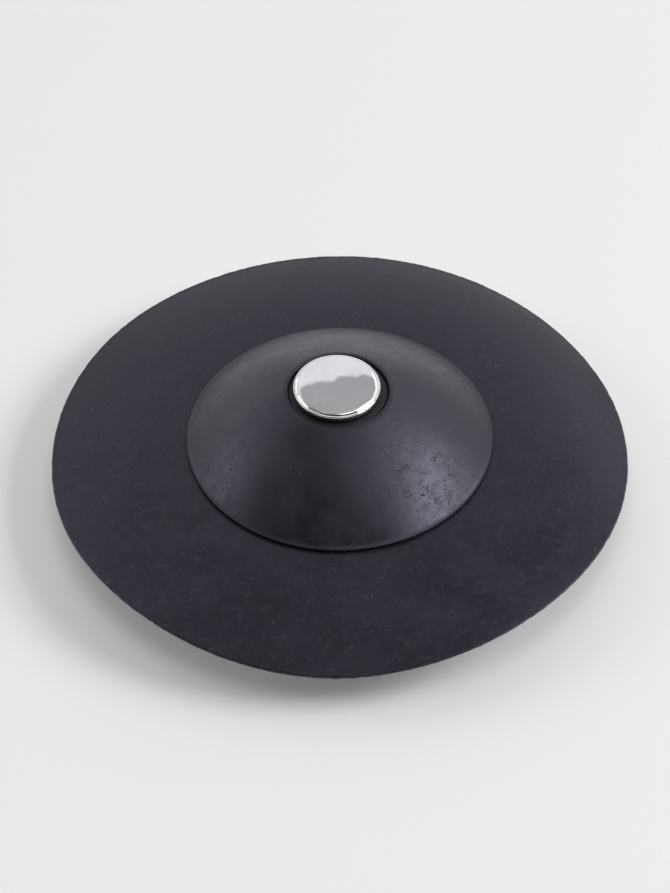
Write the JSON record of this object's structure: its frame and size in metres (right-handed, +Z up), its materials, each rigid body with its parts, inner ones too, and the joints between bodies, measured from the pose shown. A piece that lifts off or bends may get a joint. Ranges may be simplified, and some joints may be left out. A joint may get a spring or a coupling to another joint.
{
  "type": "sink strainer",
  "caption": "Round sink strainer and stopper: a soft drooping sealing disc, a slotted basket under it and a push-pull soft dome with a polished steel button.",
  "frame": {"origin": "on the stopper's axis, in the plane of the basket's foot that the strainer stands on", "axes": "+Z up along the axis that the stopper lifts on; +X and +Y lie in the foot's plane, midway between the hub's ribs"},
  "size_m": [0.11, 0.11, 0.0275],
  "materials": {
    "black_silicone": "matte, moulded",
    "black_plastic": "satin, moulded",
    "polished_steel": "mirror polished stainless steel",
    "plain_steel": "plain stainless steel"
  },
  "bodies": {
    "strainer": {"sealing_disc": "black_silicone", "guide_hub": "black_plastic", "strainer_basket": "black_plastic", "friction_bush": "black_silicone"},
    "end_stop": {"end_stop_washer": "plain_steel"},
    "stopper": {"plunger_stem": "black_plastic", "dome_cover": "black_silicone", "dome_retaining_ring": "black_plastic", "button_cap": "polished_steel", "end_stop_screw": "plain_steel"}
  },
  "joints": [
    {"name": "stopper_lift", "type": "slide", "parent": "strainer", "child": "end_stop", "axis": [0, 0, 1], "range_m": [0, 0.008]},
    {"name": "stopper_turn", "type": "hinge", "parent": "end_stop", "child": "stopper", "pos_m": [0, 0, 0.0127], "axis": [0, 0, 1], "continuous": true}
  ]
}
